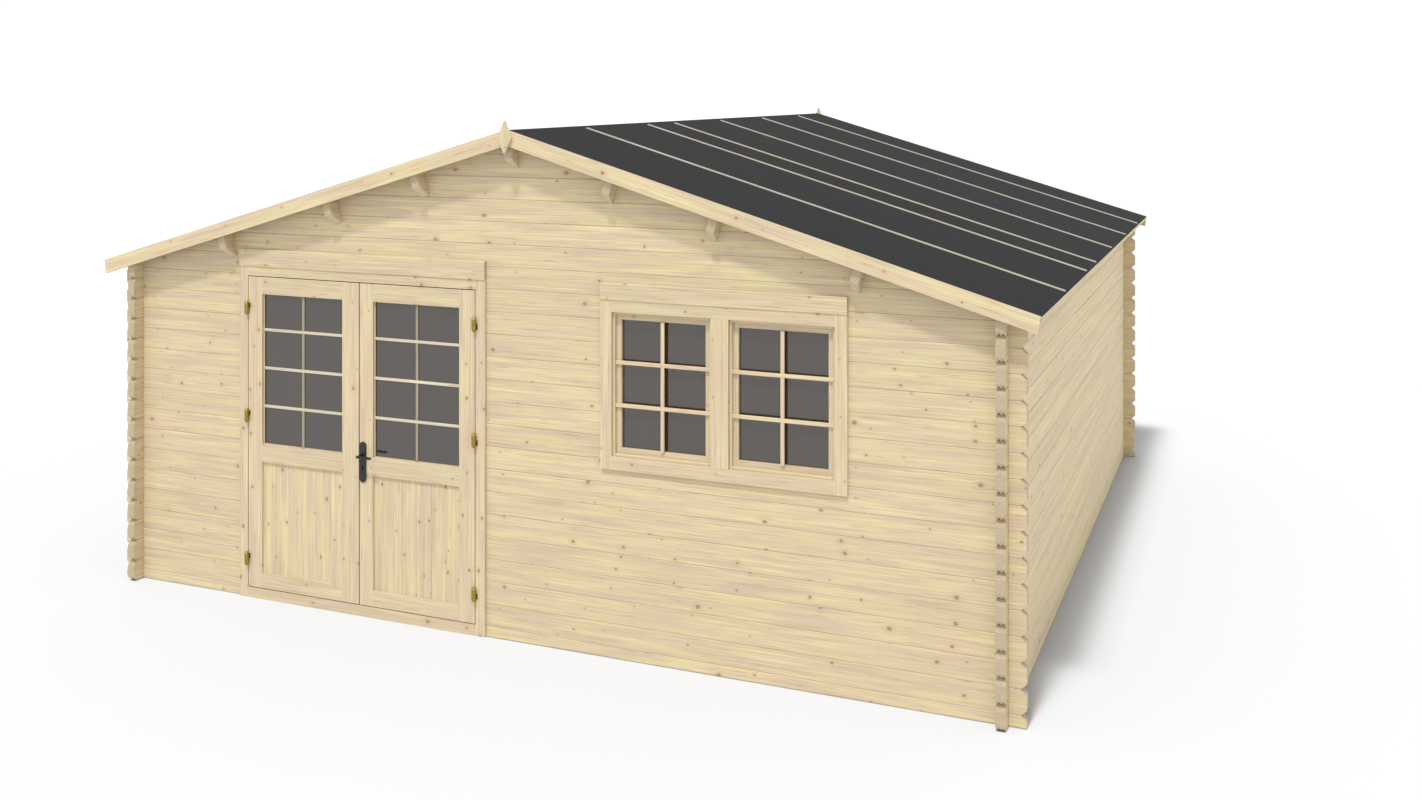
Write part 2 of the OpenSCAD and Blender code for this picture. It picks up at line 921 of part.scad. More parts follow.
// handle plate with round ends, a bore for the lever and a keyhole
module handle_plate() {
    r = plate_w / 2;
    rotate([-90, 0, 0])
    mirror([0, 1, 0])
    difference() {
        union() {
            translate([-r, r - plate_drop, 0])
                cube([plate_w, plate_h - plate_w, plate_t]);
            translate([0, r - plate_drop, 0])
                cylinder(r = r, h = plate_t);
            translate([0, plate_h - plate_drop - r, 0])
                cylinder(r = r, h = plate_t);
        }
        translate([0, 0, -eps])
            cylinder(d = lever_d + 1, h = plate_t + 2 * eps);
        translate([0, -key_drop, -eps])
            cylinder(d = key_d, h = plate_t + 2 * eps);
        translate([-key_d / 4, -key_drop - 1.5 * key_d, -eps])
            cube([key_d / 2, 1.5 * key_d, plate_t + 2 * eps]);
    }
}

module handle_plates() {
    color(black) {
        translate([lever_x, leaf_y - plate_t, lever_z])
            handle_plate();
        translate([lever_x, leaf_y + leaf_t, lever_z])
            handle_plate();
    }
}

// two levers on one spindle through the leaf
module lever_handle() {
    out = plate_t + lever_out;
    color(black)
    translate([lever_x, leaf_y, lever_z]) {
        rotate([-90, 0, 0])
            translate([0, 0, -out])
            cylinder(d = spindle_d, h = leaf_t + 2 * out);
        for (y = [-out, leaf_t])
            translate([0, y, 0])
            rotate([-90, 0, 0])
            cylinder(d = lever_d, h = out);
        for (y = [-out, leaf_t + out])
            translate([0, y, 0]) {
                sphere(d = lever_d);
                rotate([0, 90, 0])
                    cylinder(d = lever_d, h = lever_l - lever_d / 2);
                translate([lever_l - lever_d / 2, 0, 0])
                    sphere(d = lever_d);
            }
    }
}

front_wall_left();
front_wall_low();
front_wall_middle();
front_wall_right();
front_wall_top();
front_gable();
back_wall();
back_gable();
left_wall();
right_wall();
ridge_purlin();
side_purlins();
left_roof_boards();
right_roof_boards();
left_felt();
right_felt();
felt_battens();
front_bargeboards();
back_bargeboards();
finials();
eave_trims();
door_posts();
door_head();
door_stops();
door_sill();
door_header();
window_posts();
window_rails();
window_header();
sash_stiles();
sash_rails();
window_glass();
hinge_pins();
left_leaf_stiles();
left_leaf_rails();
left_leaf_panel();
left_leaf_glass();
left_leaf_hinges();
right_leaf_stiles();
right_leaf_rails();
right_leaf_panel();
right_leaf_glass();
right_leaf_hinges();
handle_plates();
lever_handle();
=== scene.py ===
import math
from functools import partial

import bmesh
import bpy
import numpy as np
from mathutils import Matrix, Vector


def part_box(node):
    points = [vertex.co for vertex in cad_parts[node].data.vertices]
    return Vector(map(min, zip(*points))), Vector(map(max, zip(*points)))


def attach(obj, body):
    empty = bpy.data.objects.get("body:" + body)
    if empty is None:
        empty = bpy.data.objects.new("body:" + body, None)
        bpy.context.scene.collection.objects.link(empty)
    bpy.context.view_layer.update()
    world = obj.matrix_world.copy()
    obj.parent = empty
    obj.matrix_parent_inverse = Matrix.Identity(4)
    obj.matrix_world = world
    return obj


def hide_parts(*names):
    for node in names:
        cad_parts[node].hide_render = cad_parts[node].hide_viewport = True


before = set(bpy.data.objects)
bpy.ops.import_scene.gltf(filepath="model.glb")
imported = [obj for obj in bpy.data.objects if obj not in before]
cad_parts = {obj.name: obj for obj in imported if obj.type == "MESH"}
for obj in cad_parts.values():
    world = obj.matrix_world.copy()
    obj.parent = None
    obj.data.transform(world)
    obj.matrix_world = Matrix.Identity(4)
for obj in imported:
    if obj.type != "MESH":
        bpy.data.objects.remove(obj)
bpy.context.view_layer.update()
mm = 0.001
print("frame loaded:", len(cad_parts), "nodes")

# reading the frame


# low and high corner of a node, in millimetres
def boxOf(node):
    low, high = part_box(node)
    return np.array(low) / mm, np.array(high) / mm


# all corner points of a node as rows of x, y, z, in millimetres
def pointsOf(node):
    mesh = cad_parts[node].data
    flat = np.zeros(len(mesh.vertices) * 3, np.float32)
    mesh.vertices.foreach_get("co", flat)
    return flat.reshape(-1, 3).astype(float) / mm


# fall of the roof: rise over run between the felt's top points at the ridge and at the eave
def roofFall():
    points = pointsOf("right_felt")
    x = points[:, 0]
    ridgeTop = points[x < x.min() + 1, 2].max()
    eaveTop = points[x > x.max() - 1, 2].max()
    return math.atan2(ridgeTop - eaveTop, x.max() - x.min())


roofAngle = roofFall()
slopeDown = np.array([math.cos(roofAngle), 0, -math.sin(roofAngle)])  # from ridge to eave on the right
slopeUp = np.array([math.sin(roofAngle), 0, math.cos(roofAngle)])  # square to the right slope
sides = ("left", "right")
xAxis, yAxis, zAxis = (1, 0, 0), (0, 1, 0), (0, 0, 1)
print("roof falls", round(math.degrees(roofAngle), 2), "degrees")

# shapes: each gives points in millimetres and faces as lists of point numbers


# outline of a planed bar: four corner arcs, each a quarter turn of radius ease about its own centre
def easedOutline(wide, deep, ease, steps=3):
    turn = np.linspace(0, 0.5 * np.pi, steps)
    angle = (np.arange(4)[:, None] * 0.5 * np.pi + turn).ravel()
    corner = np.repeat(np.array([[1, 1], [-1, 1], [-1, -1], [1, -1]]), steps, axis=0)
    middle = corner * np.array([wide / 2 - ease, deep / 2 - ease])
    return middle + ease * np.stack([np.cos(angle), np.sin(angle)], axis=1)


# straight lengths: point = end + side * a + up * b for each outline point (a, b), with both ends capped
def straightLengths(outline, starts, ends, side, up):
    ring = outline[:, :1] * np.asarray(side, float) + outline[:, 1:] * np.asarray(up, float)
    points = np.stack([starts, ends], axis=1)[:, :, None, :] + ring
    k = len(outline)
    i = np.arange(k)
    j = (i + 1) % k
    first = np.arange(len(points))[:, None] * 2 * k
    quads = np.stack([i, j, k + j, k + i], axis=1)
    faces = (first[:, :, None] + quads).reshape(-1, 4).tolist()
    faces += (first + i[::-1]).tolist() + (first + k + i).tolist()
    return points.reshape(-1, 3), faces


# mitred frame in the front's plane: at each corner the outline's reach a runs inwards along the diagonal,
# and its depth b runs along y
def mitredFrame(outline, low, high, y):
    corners = np.array([[low[0], low[1], 1, 1], [high[0], low[1], -1, 1],
                        [high[0], high[1], -1, -1], [low[0], high[1], 1, -1]], float)
    reach, depth = outline[None, :, 0], outline[None, :, 1]
    x = corners[:, 0:1] + corners[:, 2:3] * reach
    z = corners[:, 1:2] + corners[:, 3:4] * reach
    points = np.stack([x, np.broadcast_to(y + depth, x.shape), z], axis=2)
    k = len(outline)
    n, i = np.meshgrid(np.arange(4), np.arange(k), indexing="ij")
    m, j = (n + 1) % 4, (i + 1) % k
    faces = np.stack([n * k + i, n * k + j, m * k + j, m * k + i], axis=2).reshape(-1, 4)
    return points.reshape(-1, 3), faces.tolist()


# low round heads: for turn t and tilt s the point is radius * sin(s) round the axis and height * cos(s)
# along it
def roundHeads(places, radius, height, side, up, turns=8, rings=3):
    turn = np.arange(turns) * 2 * np.pi / turns
    tilt = np.linspace(0.5 * np.pi, 0.15 * np.pi, rings)[:, None]
    side, up = np.asarray(side, float), np.asarray(up, float)
    round1 = radius * np.sin(tilt) * np.cos(turn)
    round2 = radius * np.sin(tilt) * np.sin(turn)
    rise = np.broadcast_to(height * np.cos(tilt), round1.shape)
    head = round1[..., None] * side + round2[..., None] * up + rise[..., None] * np.cross(side, up)
    points = places[:, None, None, :] + head
    n, i = np.meshgrid(np.arange(rings - 1), np.arange(turns), indexing="ij")
    j = (i + 1) % turns
    quads = np.stack([n * turns + i, n * turns + j, (n + 1) * turns + j, (n + 1) * turns + i], axis=2)
    first = np.arange(len(places))[:, None] * rings * turns
    faces = (first[:, :, None] + quads.reshape(-1, 4)).reshape(-1, 4).tolist()
    ring = np.arange(turns)
    faces += (first + (rings - 1) * turns + ring).tolist() + (first + ring[::-1]).tolist()
    return points.reshape(-1, 3), faces


# several shapes as one: each later shape's point numbers move up by the points before it
def joined(shapes):
    counts = np.cumsum([0] + [len(points) for points, faces in shapes])
    faces = [[p + count for p in face] for count, (points, shape) in zip(counts, shapes) for face in shape]
    return np.concatenate([points for points, shape in shapes]), faces


# rows of x, y, z from three values or arrays that are stretched to one length
def rowsOf(x, y, z):
    return np.stack(np.broadcast_arrays(*(np.atleast_1d(part).astype(float) for part in (x, y, z))), axis=1)


# a finished piece: millimetres become metres, faces are turned outwards, and it rides on its body
def addPiece(name, shape, material, body, replaced=()):
    points, faces = shape
    mesh = bpy.data.meshes.new(name)
    mesh.from_pydata((points * mm).tolist(), [], faces)
    work = bmesh.new()
    work.from_mesh(mesh)
    bmesh.ops.recalc_face_normals(work, faces=work.faces)
    work.to_mesh(mesh)
    work.free()
    mesh.materials.append(material)
    piece = bpy.data.objects.new(name, mesh)
    bpy.context.scene.collection.objects.link(piece)
    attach(piece, body)
    if replaced:
        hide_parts(*replaced)


# materials


# sRGB hex text to linear colour: a straight foot, and a power of 2.4 above it
def tint(hexText):
    part = np.array([int(hexText[i:i + 2], 16) for i in (1, 3, 5)]) / 255
    linear = np.where(part <= 0.04045, part / 12.92, ((part + 0.055) / 1.055) ** 2.4)
    return (*linear.tolist(), 1.0)


# adds one node and gives one of its outputs: a setting is the node's own property or else an input's value,
# and a link feeds an input
def addNode(tree, kind, settings=None, links=None, out=0):
    node = tree.nodes.new("ShaderNode" + kind)
    for key, value in (settings or {}).items():
        if isinstance(key, str) and hasattr(node, key):
            setattr(node, key, value)
        else:
            node.inputs[key].default_value = value
    for key, socket in (links or {}).items():
        tree.links.new(socket, node.inputs[key])
    return node.outputs[out] if node.outputs else node


# an empty material and its node tree
def newMaterial(name):
    material = bpy.data.materials.new(name)
    material.use_nodes = True
    material.node_tree.nodes.clear()
    return material, material.node_tree


# the surface shader and the output, which end every tree
def closeMaterial(tree, settings, links):
    surface = addNode(tree, "BsdfPrincipled", settings, links)
    addNode(tree, "OutputMaterial", {}, {"Surface": surface})


# planed spruce: cream wood with pinkish drifts and fine lines along the grain, small red-brown knots that
# the grain parts round, and sawn ends a little browner; real year lines are 1 to 2 mm apart, too fine to
# show, so the lines and resin dashes are drawn coarser
spruceLook = {
    "cream": "#cec095", "pink": "#c5b096", "halo": "#c0a386", "knot": "#9c8468", "knotRim": "#8a7258",
    "resin": "#b3956f", "sawn": "#b5a88f", "sawnRing": "#a89679",
    "drift": (430, 42), "streak": (520, 9.5),  # mm along and across the grain
    "line": (380, 4.2), "resinLine": (150, 4.5),
    "driftBand": (0.32, 0.68), "shadeBand": (0.3, 0.7), "resinBand": (0.68, 0.78),  # of the noise's values
    "streakShade": (1.075, 0.905), "lineShade": (1.08, 0.87), "boardShade": (1.03, 0.96),  # light and dark
    "resinCover": 0.7, "haloCover": 0.5, "rimCover": 0.8,  # how much of the wood each layer hides
    "boardShift": 23000.0, "slopeShift": 3700.0,  # mm along the grain from one board or slope to another
    "knotRadius": (3.5, 11.0), "knotSmall": 2.2,  # mm, and the power that makes large knots rare
    "knotShare": 0.78, "knotSquash": 0.8,  # share of cells with a knot, and its squash along the grain
    "knotBend": 0.75, "knotDip": 0.6,  # how far lines part round a knot, and how deep it lies
    "wobbleWide": 9, "wobble": (0.7, 0.65),  # mm, and the factor and start of a knot's uneven edge
    "coreBand": (0.6, 1.25), "heartBand": (0.2, 0.9), "haloBand": (0.8, 4.0),  # in radii of the knot
    "endBand": (0.45, 0.62), "straightBand": (0.78, 0.95),  # how square to the grain such an end is
    "ringWide": 26, "rings": 16.0, "paintedCutShade": (1.3, 0.88),  # mm, folds, and painted light on cuts facing down and painted shade on cuts facing up
    "roughness": (0.55, 0.7), "relief": 0.3,
    "joint": 1.0, "jointShadeWide": 7.0,  # painted shade along the joints between boards, and how wide it lies
    "foot": 1.0, "footShadeHigh": 8.0,  # painted shade at a log's foot, where it meets the ground, and how high it rises
}


# grain axes in millimetres: u along the grain, v across it and w into the board, each a dot product with the
# place; board counts the boards across, and chance is a random draw for each that also shifts its u
def grainAxes(tree, look, along, across, boardWide, boardStart, seed, mirrored):
    add = partial(addNode, tree)
    along, across = np.array(along, float), np.array(across, float)
    place = add("TexCoord", {}, {}, "Object")
    read = add("VectorMath", {"operation": "ABSOLUTE"}, {0: place}) if mirrored else place
    u, v, w = (add("VectorMath", {"operation": "DOT_PRODUCT", 1: axis / mm}, {0: read}, "Value")
               for axis in (along, across, np.cross(along, across)))
    if mirrored:  # both slopes read the right one's axes, and the left one starts elsewhere along the grain
        slope = add("Math", {"operation": "SIGN"}, {0: add("SeparateXYZ", {}, {0: place})})
        u = add("Math", {"operation": "MULTIPLY_ADD", 1: look["slopeShift"]}, {0: slope, 2: u})
    board = add("Math", {"operation": "MULTIPLY_ADD", 1: 1 / boardWide, 2: -boardStart / boardWide}, {0: v})
    board = add("Math", {"operation": "FLOOR"}, {0: board})
    draw = add("CombineXYZ", {"Y": seed}, {"X": board})
    chance = add("TexWhiteNoise", {"noise_dimensions": "2D"}, {"Vector": draw}, "Value")
    u = add("Math", {"operation": "MULTIPLY_ADD", 1: look["boardShift"]}, {0: chance, 2: u})
    return u, v, w, board, chance


# knots: random points in cells of the given size, one disc about each; near is the distance over the disc's
# radius, core, heart and halo are soft steps of it, and pull is how far the halo draws v towards the knot
def knotField(tree, look, u, v, cell):
    add = partial(addNode, tree)
    flat = add("CombineXYZ", {}, {"X": u, "Y": v})
    scaled = add("VectorMath", {"operation": "DIVIDE", 1: (*cell, 1.0)}, {0: flat})
    spot = add("TexVoronoi", {"voronoi_dimensions": "2D", "Scale": 1.0, "Randomness": 0.95},
               {"Vector": scaled}, "Position")
    draws = add("SeparateColor", {}, {0: spot.node.outputs["Color"]}).node.outputs
    offset = add("VectorMath", {"operation": "SUBTRACT"}, {0: scaled, 1: spot})
    offset = add("VectorMath", {"operation": "MULTIPLY", 1: (*cell, 0.0)}, {0: offset})
    squashed = add("VectorMath", {"operation": "MULTIPLY", 1: (look["knotSquash"], 1.0, 0.0)}, {0: offset})
    away = add("VectorMath", {"operation": "LENGTH"}, {0: squashed}, "Value")
    small, large = look["knotRadius"]
    size = add("Math", {"operation": "POWER", 1: look["knotSmall"]}, {0: draws[0]})
    size = add("MapRange", {"To Min": small, "To Max": large}, {"Value": size})
    there = add("Math", {"operation": "LESS_THAN", 1: look["knotShare"]}, {0: draws[1]})
    radius = add("Math", {"operation": "MULTIPLY_ADD", 2: 0.01}, {0: size, 1: there})  # never quite 0
    near = add("Math", {"operation": "DIVIDE"}, {0: away, 1: radius})
    wobble = add("TexNoise", {"Scale": 1 / look["wobbleWide"], "Detail": 1.0}, {"Vector": flat})
    factor, start = look["wobble"]
    wobble = add("Math", {"operation": "MULTIPLY_ADD", 1: factor, 2: start}, {0: wobble})
    near = add("Math", {"operation": "MULTIPLY"}, {0: near, 1: wobble})
    core, heart, halo = (
        add("MapRange", {"interpolation_type": "SMOOTHSTEP", "From Min": inner, "From Max": outer,
                         "To Min": 1.0, "To Max": 0.0}, {"Value": near})
        for inner, outer in (look["coreBand"], look["heartBand"], look["haloBand"]))
    acrossKnot = add("SeparateXYZ", {}, {0: offset}, "Y")
    pull = add("Math", {"operation": "MULTIPLY"}, {0: halo, 1: acrossKnot})
    return core, heart, halo, pull


# colour of the grain: slow drift between cream and pink, then streaks, lines and the board's own draw as
# shade, then resin dashes; line is also given back, for roughness and relief
def grainColour(tree, look, grain, chance):
    add = partial(addNode, tree)
    drift, streak, line, resin = (
        add("TexNoise", {"Scale": 1.0, "Detail": detail, "Roughness": 0.55},
            {"Vector": add("VectorMath", {"operation": "DIVIDE", 1: (long, wide, wide)}, {0: grain})})
        for (long, wide), detail in ((look["drift"], 1.0), (look["streak"], 2.0), (look["line"], 2.0),
                                     (look["resinLine"], 0.0)))
    low, high = look["driftBand"]
    blend = add("MapRange", {"From Min": low, "From Max": high}, {"Value": drift})
    colour = add("Mix", {"data_type": "RGBA", 6: tint(look["cream"]), 7: tint(look["pink"])}, {0: blend}, 2)
    for part, (low, high), (light, dark) in ((streak, look["shadeBand"], look["streakShade"]),
                                             (line, look["shadeBand"], look["lineShade"]),
                                             (chance, (0.0, 1.0), look["boardShade"])):
        band = {"From Min": low, "From Max": high, "To Min": light, "To Max": dark}
        shade = add("MapRange", band, {"Value": part})
        colour = add("VectorMath", {"operation": "SCALE"}, {0: colour, "Scale": shade})
    low, high = look["resinBand"]
    band = {"From Min": low, "From Max": high, "To Max": look["resinCover"]}
    dash = add("MapRange", band, {"Value": resin})
    return add("Mix", {"data_type": "RGBA", 7: tint(look["resin"])}, {0: dash, 6: colour}, 2), line


# a colour scaled by a painted shade that rises from dark to 1 as the way runs from 0 to its reach
def withPaintedShade(tree, colour, way, reach, dark):
    shade = addNode(tree, "MapRange", {"From Max": reach, "To Min": dark}, {"Value": way})
    return addNode(tree, "VectorMath", {"operation": "SCALE"}, {0: colour, "Scale": shade})


# sawn ends: square is the share of the face's normal that lies along the grain, a noise folded back and
# forth gives rings, and slanted cuts get painted light as they face down and painted shade as they face up
def sawnEnds(tree, look, along, v, w, board):
    add = partial(addNode, tree)
    facing = add("TexCoord", {}, {}, "Normal")
    normal = add("VectorMath", {"operation": "ABSOLUTE"}, {0: facing})
    square = add("VectorMath", {"operation": "DOT_PRODUCT", 1: np.abs(along)}, {0: normal}, "Value")
    low, high = look["endBand"]
    sawn = add("MapRange", {"From Min": low, "From Max": high}, {"Value": square})
    face = add("CombineXYZ", {}, {"X": v, "Y": w, "Z": board})
    ring = add("TexNoise", {"Scale": 1 / look["ringWide"], "Detail": 1.0}, {"Vector": face})
    ring = add("Math", {"operation": "MULTIPLY", 1: look["rings"]}, {0: ring})
    ring = add("Math", {"operation": "PINGPONG", 1: 1.0}, {0: ring})
    ends = add("Mix", {"data_type": "RGBA", 6: tint(look["sawn"]), 7: tint(look["sawnRing"])}, {0: ring}, 2)
    # painted light on cuts facing down, painted shade on cuts facing up
    lower, upper = look["paintedCutShade"]
    paintedCut = add("MapRange", {"From Min": -0.5, "From Max": 0.5, "To Min": lower, "To Max": upper},
              {"Value": add("SeparateXYZ", {}, {0: facing}, "Z")})
    low, high = look["straightBand"]
    paintedCut = add("MapRange", {"From Min": low, "From Max": high}, {"Value": square, "To Min": paintedCut})
    return sawn, add("VectorMath", {"operation": "SCALE"}, {0: ends, "Scale": paintedCut})


# a spruce board: the grain's colour, then halo, rim and heart of the knots, painted shade by the distance to
# the next joint, painted shade by the height of a level log above the ground, and on faces square to the
# grain the sawn ends
def spruce(name, along, across, boardWide=1e6, boardStart=-5e5, seed=0, mirrored=False, cell=(330, 105),
           change=None):
    look = {**spruceLook, **(change or {})}
    material, tree = newMaterial(name)
    add = partial(addNode, tree)
    u, height, w, board, chance = grainAxes(tree, look, along, across, boardWide, boardStart, seed, mirrored)
    core, heart, halo, pull = knotField(tree, look, u, height, cell)
    v = add("Math", {"operation": "MULTIPLY_ADD", 1: -look["knotBend"]}, {0: pull, 2: height})
    grain = add("CombineXYZ", {}, {"X": u, "Y": v, "Z": w})
    colour, line = grainColour(tree, look, grain, chance)
    aura = add("Math", {"operation": "MULTIPLY", 1: look["haloCover"]}, {0: halo})
    rim = add("Math", {"operation": "MULTIPLY", 1: look["rimCover"]}, {0: core})
    for mask, layer in ((aura, "halo"), (rim, "knotRim"), (heart, "knot")):
        colour = add("Mix", {"data_type": "RGBA", 7: tint(look[layer])}, {0: mask, 6: colour}, 2)
    # painted shade along the joints between boards, by the distance to the nearest one
    if look["joint"] < 1:
        joint = add("Math", {"operation": "SUBTRACT", 1: boardStart}, {0: height})
        joint = add("Math", {"operation": "PINGPONG", 1: boardWide / 2}, {0: joint})
        colour = withPaintedShade(tree, colour, joint, look["jointShadeWide"] / 2, look["joint"])
    # painted shade at the foot of a level log, by its height above the ground
    if look["foot"] < 1:
        colour = withPaintedShade(tree, colour, height, look["footShadeHigh"], look["foot"])
    sawn, ends = sawnEnds(tree, look, along, v, w, board)
    colour = add("Mix", {"data_type": "RGBA"}, {0: sawn, 6: colour, 7: ends}, 2)
    smooth, rough = look["roughness"]
    roughness = add("MapRange", {"To Min": smooth, "To Max": rough}, {"Value": line})
    swell = add("Math", {"operation": "MULTIPLY_ADD", 1: -look["knotDip"]}, {0: core, 2: line})
    bump = add("Bump", {"Strength": 0.5, "Distance": look["relief"] * mm}, {"Height": swell})
    links = {"Base Color": colour, "Roughness": roughness, "Normal": bump}
    closeMaterial(tree, {"Specular IOR Level": 0.3}, links)
    return material


# bitumen roofing felt, rolled out and strewn with mineral grit: even charcoal with slow clouds and a few
# paler grains; the real 1 mm grit is too fine to show, so it is drawn coarser
feltLook = {
    "dark": "#1b1b1b", "light": "#202020", "grain": "#303030", "grit": 5.0, "cloud": 320,
    "palerBand": (0.7, 1.0), "paler": 0.6, "roughness": 0.92, "relief": 0.8,
}


# cloud is slow noise between two greys, and each grit cell draws whether it is paler
def bitumenFelt():
    look = feltLook
    material, tree = newMaterial("bitumen_felt")
    add = partial(addNode, tree)
    place = add("TexCoord", {}, {}, "Object")
    cloud = add("TexNoise", {"Scale": 1 / (look["cloud"] * mm), "Detail": 3.0}, {"Vector": place})
    grit = add("TexVoronoi", {"Scale": 1 / (look["grit"] * mm)}, {"Vector": place})
    tone = add("Mix", {"data_type": "RGBA", 6: tint(look["dark"]), 7: tint(look["light"])}, {0: cloud}, 2)
    draw = add("SeparateColor", {}, {0: grit.node.outputs["Color"]})
    low, high = look["palerBand"]
    paler = add("MapRange", {"From Min": low, "From Max": high, "To Max": look["paler"]}, {"Value": draw})
    tone = add("Mix", {"data_type": "RGBA", 7: tint(look["grain"])}, {0: paler, 6: tone}, 2)
    bump = add("Bump", {"Strength": 0.4, "Distance": look["relief"] * mm}, {"Height": grit})
    settings = {"Roughness": look["roughness"], "Specular IOR Level": 0.15}
    closeMaterial(tree, settings, {"Base Color": tone, "Normal": bump})
    return material


# float glass before a dark room: mostly the pale surroundings mirrored over a dark body that is painted
# shade of the room behind, and a little wavy; a double pane mirrors from four faces, so this one sheet has
# more IOR than glass
glassLook = {
    # body and bodyFar are painted shade of the dark room behind the glass
    "body": "#372d23", "bodyFar": "#3d3328", "ior": 2.0, "alpha": 0.82, "roughness": 0.03,
    "wave": 240, "relief": 0.5,
}


# one slow noise drives the waves and the drift of the body's tone
def floatGlass():
    look = glassLook
    material, tree = newMaterial("float_glass")
    add = partial(addNode, tree)
    place = add("TexCoord", {}, {}, "Object")
    wave = add("TexNoise", {"Scale": 1 / (look["wave"] * mm), "Detail": 1.0}, {"Vector": place})
    tone = add("Mix", {"data_type": "RGBA", 6: tint(look["body"]), 7: tint(look["bodyFar"])}, {0: wave}, 2)
    bump = add("Bump", {"Strength": 0.1, "Distance": look["relief"] * mm}, {"Height": wave})
    settings = {"Roughness": look["roughness"], "IOR": look["ior"], "Alpha": look["alpha"]}
    closeMaterial(tree, settings, {"Base Color": tone, "Normal": bump})
    return material


# metals: rolled brass that has dulled unevenly, powder coat with a fine orange peel, the smoother lacquer of
# a lever that hands have polished, the steel inside a lock, near black as painted shade of its keyholes, and
# spangled zinc
metalLook = {
    "rolled_brass": {"dark": "#8a7434", "light": "#b59d52", "metallic": 1.0, "roughness": (0.3, 0.5),
                     "spot": 18, "relief": 0.2},
    "black_powder_coat": {"dark": "#151413", "light": "#1f1d1b", "metallic": 0.0, "roughness": (0.4, 0.52),
                          "spot": 4, "relief": 0.2},
    "black_lacquer": {"dark": "#0b0a09", "light": "#12100e", "metallic": 0.0, "roughness": (0.2, 0.3),
                      "spot": 7, "relief": 0.2},
    "oiled_steel_and_keyhole_shade": {"dark": "#060607", "light": "#0a0a0b", "metallic": 0.0, "roughness": (0.7, 0.8),
                    "spot": 6, "relief": 0.2},
    "zinc_plated_steel": {"dark": "#8d8f90", "light": "#b5b7b8", "metallic": 1.0, "roughness": (0.35, 0.5),
                          "spot": 9, "relief": 0.2},
}


# tone, roughness and relief all follow one noise as wide as the spot
def metal(name):
    look = metalLook[name]
    material, tree = newMaterial(name)
    add = partial(addNode, tree)
    place = add("TexCoord", {}, {}, "Object")
    spot = add("TexNoise", {"Scale": 1 / (look["spot"] * mm), "Detail": 3.0}, {"Vector": place})
    tone = add("Mix", {"data_type": "RGBA", 6: tint(look["dark"]), 7: tint(look["light"])}, {0: spot}, 2)
    smooth, rough = look["roughness"]
    roughness = add("MapRange", {"To Min": smooth, "To Max": rough}, {"Value": spot})
    bump = add("Bump", {"Strength": 0.15, "Distance": look["relief"] * mm}, {"Height": spot})
    links = {"Base Color": tone, "Roughness": roughness, "Normal": bump}
    closeMaterial(tree, {"Metallic": look["metallic"]}, links)
    return material


# rows of boards whose grain changes from one to the next; the front and back logs lie half a log off the
# side ones
frontRows = {"boardWide": 120.0, "boardStart": -60.0}
sideRows = {"boardWide": 120.0, "boardStart": 0.0}
panelBoards = {"count": 6, "ease": 1.6}
roofBoards = {"count": 58, "ease": 4.0, "gap": 0.4}


# the boards of a leaf's panel share its width evenly
def panelRowsOf(side):
    low, high = boxOf(side + "_leaf_panel")
    return {"boardWide": (high[0] - low[0]) / panelBoards["count"], "boardStart": low[0]}


panelRows = {side: panelRowsOf(side) for side in sides}
deckLow, deckHigh = boxOf("right_roof_boards")
plankWide = (deckHigh[1] - deckLow[1]) / roofBoards["count"]

# every log wall gets the painted shade at its foot
footShadeLook = {"foot": 0.45}
sideLook = {"drift": (1300, 42), "streak": (1500, 9.5), "line": (1100, 4.2), "pink": "#c8b597", "joint": 0.8,
            **footShadeLook}  # the side logs show longer, more even grain, and painted shade along the joints
calmLook = {"cream": "#ccbd98", "pink": "#c7b397"}  # frames are cut from more even wood than logs
clearLook = {"knotShare": 0.0}  # thin strips are cut from wood without knots
barsLook = {"cream": "#c9c0a8", "pink": "#bfb49e", **clearLook}  # the leaves' level bars are paler
uprightShadeLook = {"cream": "#9a917c", "pink": "#918773", **clearLook}  # and their upright bars greyer and darker, as painted shade
battenLook = {"cream": "#c4beb2", "pink": "#bbb4a8", **clearLook}  # felt battens, greyed by the weather
wood = {
    "frontLogs": spruce("spruce_front_logs", xAxis, zAxis, **frontRows, seed=1, change=footShadeLook),
    "backLogs": spruce("spruce_back_logs", xAxis, zAxis, **frontRows, seed=7, change=footShadeLook),
    "rightLogs": spruce("spruce_right_logs", yAxis, zAxis, **sideRows, seed=2, change=sideLook),
    "leftLogs": spruce("spruce_left_logs", yAxis, zAxis, **sideRows, seed=8, change=sideLook),
    "uprights": spruce("spruce_uprights", zAxis, xAxis, seed=3, cell=(300, 80), change=calmLook),
    "rails": spruce("spruce_rails", xAxis, zAxis, seed=4, cell=(330, 90), change=calmLook),
    "shadedUprightBars": spruce("spruce_upright_bars_painted_shade", zAxis, xAxis, seed=14, change=uprightShadeLook),
    "levelBars": spruce("spruce_level_bars", xAxis, zAxis, seed=15, change=barsLook),
    "uprightBeads": spruce("spruce_upright_beads", zAxis, xAxis, seed=16, change=clearLook),
    "levelBeads": spruce("spruce_level_beads", xAxis, zAxis, seed=17, change=clearLook),
    "purlins": spruce("spruce_purlins", yAxis, zAxis, seed=5),
    "trims": spruce("spruce_trims", yAxis, zAxis, seed=9),
    "barge": spruce("spruce_bargeboards", slopeDown, slopeUp, seed=6, mirrored=True, cell=(420, 90)),
    "battens": spruce("spruce_battens", slopeDown, yAxis, seed=10, mirrored=True, change=battenLook),
    "deck": spruce("spruce_roof_boards", slopeDown, yAxis, plankWide, 0, 11, True, (420, 90)),
    "leftPanel": spruce("spruce_left_panel", zAxis, xAxis, **panelRows["left"], seed=12, cell=(260, 90)),
    "rightPanel": spruce("spruce_right_panel", zAxis, xAxis, **panelRows["right"], seed=13, cell=(260, 90)),
}
metals = {name: metal(name) for name in metalLook}
